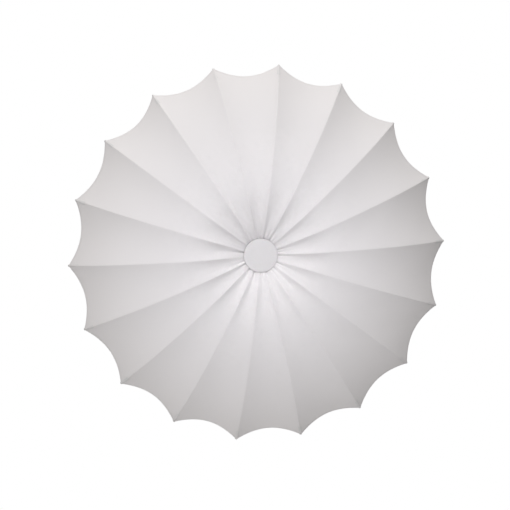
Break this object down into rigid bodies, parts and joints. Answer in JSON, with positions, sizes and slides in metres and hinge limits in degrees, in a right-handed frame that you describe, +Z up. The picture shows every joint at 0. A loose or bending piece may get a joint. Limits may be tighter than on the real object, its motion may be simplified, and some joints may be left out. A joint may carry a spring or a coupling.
{
  "type": "umbrella reflector",
  "caption": "White scalloped fabric dome on curved ribs that folds back along a straight shaft, to bounce or soften studio light.",
  "frame": {"origin": "centre of the shaft's free end", "axes": "+Y along the shaft towards its free end, away from the dome; the dome's front faces -Y; +Z up, through the tip of the first rib"},
  "size_m": [0.8372, 0.8236, 0.85],
  "materials": {
    "steel_tube": "satin",
    "black_plastic": "matte",
    "hub_plastic": "satin",
    "cap_cover": "matte",
    "spring_steel": "satin",
    "fibreglass": "satin",
    "stretcher_steel": "satin",
    "stretch_fabric": "matte"
  },
  "bodies": {
    "root": {"shaft": "steel_tube", "shaft_plug": "black_plastic", "crown": "hub_plastic", "front_cap": "cap_cover"},
    "rib_01": {"rib_01": "fibreglass", "canopy_panel_01": "stretch_fabric"},
    "stretcher_01": {"stretcher_01": "stretcher_steel"},
    "rib_02": {"rib_02": "fibreglass", "canopy_panel_02": "stretch_fabric"},
    "stretcher_02": {"stretcher_02": "stretcher_steel"},
    "rib_03": {"rib_03": "fibreglass", "canopy_panel_03": "stretch_fabric"},
    "stretcher_03": {"stretcher_03": "stretcher_steel"},
    "rib_04": {"rib_04": "fibreglass", "canopy_panel_04": "stretch_fabric"},
    "stretcher_04": {"stretcher_04": "stretcher_steel"},
    "rib_05": {"rib_05": "fibreglass", "canopy_panel_05": "stretch_fabric"},
    "stretcher_05": {"stretcher_05": "stretcher_steel"},
    "rib_06": {"rib_06": "fibreglass", "canopy_panel_06": "stretch_fabric"},
    "stretcher_06": {"stretcher_06": "stretcher_steel"},
    "rib_07": {"rib_07": "fibreglass", "canopy_panel_07": "stretch_fabric"},
    "stretcher_07": {"stretcher_07": "stretcher_steel"},
    "rib_08": {"rib_08": "fibreglass", "canopy_panel_08": "stretch_fabric"},
    "stretcher_08": {"stretcher_08": "stretcher_steel"},
    "rib_09": {"rib_09": "fibreglass", "canopy_panel_09": "stretch_fabric"},
    "stretcher_09": {"stretcher_09": "stretcher_steel"},
    "rib_10": {"rib_10": "fibreglass", "canopy_panel_10": "stretch_fabric"},
    "stretcher_10": {"stretcher_10": "stretcher_steel"},
    "rib_11": {"rib_11": "fibreglass", "canopy_panel_11": "stretch_fabric"},
    "stretcher_11": {"stretcher_11": "stretcher_steel"},
    "rib_12": {"rib_12": "fibreglass", "canopy_panel_12": "stretch_fabric"},
    "stretcher_12": {"stretcher_12": "stretcher_steel"},
    "rib_13": {"rib_13": "fibreglass", "canopy_panel_13": "stretch_fabric"},
    "stretcher_13": {"stretcher_13": "stretcher_steel"},
    "rib_14": {"rib_14": "fibreglass", "canopy_panel_14": "stretch_fabric"},
    "stretcher_14": {"stretcher_14": "stretcher_steel"},
    "rib_15": {"rib_15": "fibreglass", "canopy_panel_15": "stretch_fabric"},
    "stretcher_15": {"stretcher_15": "stretcher_steel"},
    "rib_16": {"rib_16": "fibreglass", "canopy_panel_16": "stretch_fabric"},
    "stretcher_16": {"stretcher_16": "stretcher_steel"},
    "rib_17": {"rib_17": "fibreglass", "canopy_panel_17": "stretch_fabric"},
    "stretcher_17": {"stretcher_17": "stretcher_steel"},
    "rib_18": {"rib_18": "fibreglass", "canopy_panel_18": "stretch_fabric"},
    "stretcher_18": {"stretcher_18": "stretcher_steel"},
    "runner": {"runner": "hub_plastic"},
    "catch": {"spring_catch": "spring_steel"}
  },
  "joints": [
    {"name": "rib_01_fold", "type": "hinge", "parent": "root", "child": "rib_01", "pos_m": [0, -0.76, 0.018], "axis": [-1, 0, 0], "range_deg": [0, 70], "deforming": ["canopy_panel_01", "spring_catch"]},
    {"name": "rib_02_fold", "type": "hinge", "parent": "root", "child": "rib_02", "pos_m": [0.00616, -0.76, 0.01691], "axis": [-0.9397, 0, 0.342], "range_deg": [0, 70], "deforming": ["canopy_panel_02"]},
    {"name": "rib_03_fold", "type": "hinge", "parent": "root", "child": "rib_03", "pos_m": [0.01157, -0.76, 0.01379], "axis": [-0.766, 0, 0.6428], "range_deg": [0, 70], "deforming": ["canopy_panel_03"]},
    {"name": "rib_04_fold", "type": "hinge", "parent": "root", "child": "rib_04", "pos_m": [0.01559, -0.76, 0.009], "axis": [-0.5, 0, 0.866], "range_deg": [0, 70], "deforming": ["canopy_panel_04"]},
    {"name": "rib_05_fold", "type": "hinge", "parent": "root", "child": "rib_05", "pos_m": [0.01773, -0.76, 0.00313], "axis": [-0.1736, 0, 0.9848], "range_deg": [0, 70], "deforming": ["canopy_panel_05"]},
    {"name": "rib_06_fold", "type": "hinge", "parent": "root", "child": "rib_06", "pos_m": [0.01773, -0.76, -0.00313], "axis": [0.1736, 0, 0.9848], "range_deg": [0, 70], "deforming": ["canopy_panel_06"]},
    {"name": "rib_07_fold", "type": "hinge", "parent": "root", "child": "rib_07", "pos_m": [0.01559, -0.76, -0.009], "axis": [0.5, 0, 0.866], "range_deg": [0, 70], "deforming": ["canopy_panel_07"]},
    {"name": "rib_08_fold", "type": "hinge", "parent": "root", "child": "rib_08", "pos_m": [0.01157, -0.76, -0.01379], "axis": [0.766, 0, 0.6428], "range_deg": [0, 70], "deforming": ["canopy_panel_08"]},
    {"name": "rib_09_fold", "type": "hinge", "parent": "root", "child": "rib_09", "pos_m": [0.00616, -0.76, -0.01691], "axis": [0.9397, 0, 0.342], "range_deg": [0, 70], "deforming": ["canopy_panel_09"]},
    {"name": "rib_10_fold", "type": "hinge", "parent": "root", "child": "rib_10", "pos_m": [0, -0.76, -0.018], "axis": [1, 0, 0], "range_deg": [0, 70], "deforming": ["canopy_panel_10"]},
    {"name": "rib_11_fold", "type": "hinge", "parent": "root", "child": "rib_11", "pos_m": [-0.00616, -0.76, -0.01691], "axis": [0.9397, 0, -0.342], "range_deg": [0, 70], "deforming": ["canopy_panel_11"]},
    {"name": "rib_12_fold", "type": "hinge", "parent": "root", "child": "rib_12", "pos_m": [-0.01157, -0.76, -0.01379], "axis": [0.766, 0, -0.6428], "range_deg": [0, 70], "deforming": ["canopy_panel_12"]},
    {"name": "rib_13_fold", "type": "hinge", "parent": "root", "child": "rib_13", "pos_m": [-0.01559, -0.76, -0.009], "axis": [0.5, 0, -0.866], "range_deg": [0, 70], "deforming": ["canopy_panel_13"]},
    {"name": "rib_14_fold", "type": "hinge", "parent": "root", "child": "rib_14", "pos_m": [-0.01773, -0.76, -0.00313], "axis": [0.1736, 0, -0.9848], "range_deg": [0, 70], "deforming": ["canopy_panel_14"]},
    {"name": "rib_15_fold", "type": "hinge", "parent": "root", "child": "rib_15", "pos_m": [-0.01773, -0.76, 0.00313], "axis": [-0.1736, 0, -0.9848], "range_deg": [0, 70], "deforming": ["canopy_panel_15"]},
    {"name": "rib_16_fold", "type": "hinge", "parent": "root", "child": "rib_16", "pos_m": [-0.01559, -0.76, 0.009], "axis": [-0.5, 0, -0.866], "range_deg": [0, 70], "deforming": ["canopy_panel_16"]},
    {"name": "rib_17_fold", "type": "hinge", "parent": "root", "child": "rib_17", "pos_m": [-0.01157, -0.76, 0.01379], "axis": [-0.766, 0, -0.6428], "range_deg": [0, 70], "deforming": ["canopy_panel_17"]},
    {"name": "rib_18_fold", "type": "hinge", "parent": "root", "child": "rib_18", "pos_m": [-0.00616, -0.76, 0.01691], "axis": [-0.9397, 0, -0.342], "range_deg": [0, 70], "deforming": ["canopy_panel_18"]},
    {"name": "stretcher_01_pivot", "type": "hinge", "parent": "rib_01", "child": "stretcher_01", "pos_m": [0, -0.75018, 0.33964], "axis": [-1, 0, 0], "range_deg": [-140, 0]},
    {"name": "stretcher_02_pivot", "type": "hinge", "parent": "rib_02", "child": "stretcher_02", "pos_m": [0.11616, -0.75018, 0.31915], "axis": [-0.9397, 0, 0.342], "range_deg": [-140, 0]},
    {"name": "stretcher_03_pivot", "type": "hinge", "parent": "rib_03", "child": "stretcher_03", "pos_m": [0.21831, -0.75018, 0.26018], "axis": [-0.766, 0, 0.6428], "range_deg": [-140, 0]},
    {"name": "stretcher_04_pivot", "type": "hinge", "parent": "rib_04", "child": "stretcher_04", "pos_m": [0.29413, -0.75018, 0.16982], "axis": [-0.5, 0, 0.866], "range_deg": [-140, 0]},
    {"name": "stretcher_05_pivot", "type": "hinge", "parent": "rib_05", "child": "stretcher_05", "pos_m": [0.33448, -0.75018, 0.05898], "axis": [-0.1736, 0, 0.9848], "range_deg": [-140, 0]},
    {"name": "stretcher_06_pivot", "type": "hinge", "parent": "rib_06", "child": "stretcher_06", "pos_m": [0.33448, -0.75018, -0.05898], "axis": [0.1736, 0, 0.9848], "range_deg": [-140, 0]},
    {"name": "stretcher_07_pivot", "type": "hinge", "parent": "rib_07", "child": "stretcher_07", "pos_m": [0.29413, -0.75018, -0.16982], "axis": [0.5, 0, 0.866], "range_deg": [-140, 0]},
    {"name": "stretcher_08_pivot", "type": "hinge", "parent": "rib_08", "child": "stretcher_08", "pos_m": [0.21831, -0.75018, -0.26018], "axis": [0.766, 0, 0.6428], "range_deg": [-140, 0]},
    {"name": "stretcher_09_pivot", "type": "hinge", "parent": "rib_09", "child": "stretcher_09", "pos_m": [0.11616, -0.75018, -0.31915], "axis": [0.9397, 0, 0.342], "range_deg": [-140, 0]},
    {"name": "stretcher_10_pivot", "type": "hinge", "parent": "rib_10", "child": "stretcher_10", "pos_m": [0, -0.75018, -0.33964], "axis": [1, 0, 0], "range_deg": [-140, 0]},
    {"name": "stretcher_11_pivot", "type": "hinge", "parent": "rib_11", "child": "stretcher_11", "pos_m": [-0.11616, -0.75018, -0.31915], "axis": [0.9397, 0, -0.342], "range_deg": [-140, 0]},
    {"name": "stretcher_12_pivot", "type": "hinge", "parent": "rib_12", "child": "stretcher_12", "pos_m": [-0.21831, -0.75018, -0.26018], "axis": [0.766, 0, -0.6428], "range_deg": [-140, 0]},
    {"name": "stretcher_13_pivot", "type": "hinge", "parent": "rib_13", "child": "stretcher_13", "pos_m": [-0.29413, -0.75018, -0.16982], "axis": [0.5, 0, -0.866], "range_deg": [-140, 0]},
    {"name": "stretcher_14_pivot", "type": "hinge", "parent": "rib_14", "child": "stretcher_14", "pos_m": [-0.33448, -0.75018, -0.05898], "axis": [0.1736, 0, -0.9848], "range_deg": [-140, 0]},
    {"name": "stretcher_15_pivot", "type": "hinge", "parent": "rib_15", "child": "stretcher_15", "pos_m": [-0.33448, -0.75018, 0.05898], "axis": [-0.1736, 0, -0.9848], "range_deg": [-140, 0]},
    {"name": "stretcher_16_pivot", "type": "hinge", "parent": "rib_16", "child": "stretcher_16", "pos_m": [-0.29413, -0.75018, 0.16982], "axis": [-0.5, 0, -0.866], "range_deg": [-140, 0]},
    {"name": "stretcher_17_pivot", "type": "hinge", "parent": "rib_17", "child": "stretcher_17", "pos_m": [-0.21831, -0.75018, 0.26018], "axis": [-0.766, 0, -0.6428], "range_deg": [-140, 0]},
    {"name": "stretcher_18_pivot", "type": "hinge", "parent": "rib_18", "child": "stretcher_18", "pos_m": [-0.11616, -0.75018, 0.31915], "axis": [-0.9397, 0, -0.342], "range_deg": [-140, 0]},
    {"name": "runner_travel", "type": "hinge", "parent": "stretcher_01", "child": "runner", "pos_m": [0, -0.74036, 0.018], "axis": [-1, 0, 0], "range_deg": [0, 70]},
    {"name": "catch_press", "type": "hinge", "parent": "root", "child": "catch", "pos_m": [0, -0.72436, 0.00185], "axis": [-1, 0, 0], "range_deg": [0, 5], "stiffness_Nm_per_rad": 0.4}
  ],
  "couplings": [
    {"joint": "rib_02_fold", "follows": "rib_01_fold", "ratio": 1},
    {"joint": "rib_03_fold", "follows": "rib_01_fold", "ratio": 1},
    {"joint": "rib_04_fold", "follows": "rib_01_fold", "ratio": 1},
    {"joint": "rib_05_fold", "follows": "rib_01_fold", "ratio": 1},
    {"joint": "rib_06_fold", "follows": "rib_01_fold", "ratio": 1},
    {"joint": "rib_07_fold", "follows": "rib_01_fold", "ratio": 1},
    {"joint": "rib_08_fold", "follows": "rib_01_fold", "ratio": 1},
    {"joint": "rib_09_fold", "follows": "rib_01_fold", "ratio": 1},
    {"joint": "rib_10_fold", "follows": "rib_01_fold", "ratio": 1},
    {"joint": "rib_11_fold", "follows": "rib_01_fold", "ratio": 1},
    {"joint": "rib_12_fold", "follows": "rib_01_fold", "ratio": 1},
    {"joint": "rib_13_fold", "follows": "rib_01_fold", "ratio": 1},
    {"joint": "rib_14_fold", "follows": "rib_01_fold", "ratio": 1},
    {"joint": "rib_15_fold", "follows": "rib_01_fold", "ratio": 1},
    {"joint": "rib_16_fold", "follows": "rib_01_fold", "ratio": 1},
    {"joint": "rib_17_fold", "follows": "rib_01_fold", "ratio": 1},
    {"joint": "rib_18_fold", "follows": "rib_01_fold", "ratio": 1},
    {"joint": "stretcher_01_pivot", "follows": "rib_01_fold", "ratio": -2},
    {"joint": "stretcher_02_pivot", "follows": "rib_01_fold", "ratio": -2},
    {"joint": "stretcher_03_pivot", "follows": "rib_01_fold", "ratio": -2},
    {"joint": "stretcher_04_pivot", "follows": "rib_01_fold", "ratio": -2},
    {"joint": "stretcher_05_pivot", "follows": "rib_01_fold", "ratio": -2},
    {"joint": "stretcher_06_pivot", "follows": "rib_01_fold", "ratio": -2},
    {"joint": "stretcher_07_pivot", "follows": "rib_01_fold", "ratio": -2},
    {"joint": "stretcher_08_pivot", "follows": "rib_01_fold", "ratio": -2},
    {"joint": "stretcher_09_pivot", "follows": "rib_01_fold", "ratio": -2},
    {"joint": "stretcher_10_pivot", "follows": "rib_01_fold", "ratio": -2},
    {"joint": "stretcher_11_pivot", "follows": "rib_01_fold", "ratio": -2},
    {"joint": "stretcher_12_pivot", "follows": "rib_01_fold", "ratio": -2},
    {"joint": "stretcher_13_pivot", "follows": "rib_01_fold", "ratio": -2},
    {"joint": "stretcher_14_pivot", "follows": "rib_01_fold", "ratio": -2},
    {"joint": "stretcher_15_pivot", "follows": "rib_01_fold", "ratio": -2},
    {"joint": "stretcher_16_pivot", "follows": "rib_01_fold", "ratio": -2},
    {"joint": "stretcher_17_pivot", "follows": "rib_01_fold", "ratio": -2},
    {"joint": "stretcher_18_pivot", "follows": "rib_01_fold", "ratio": -2},
    {"joint": "runner_travel", "follows": "rib_01_fold", "ratio": 1}
  ]
}
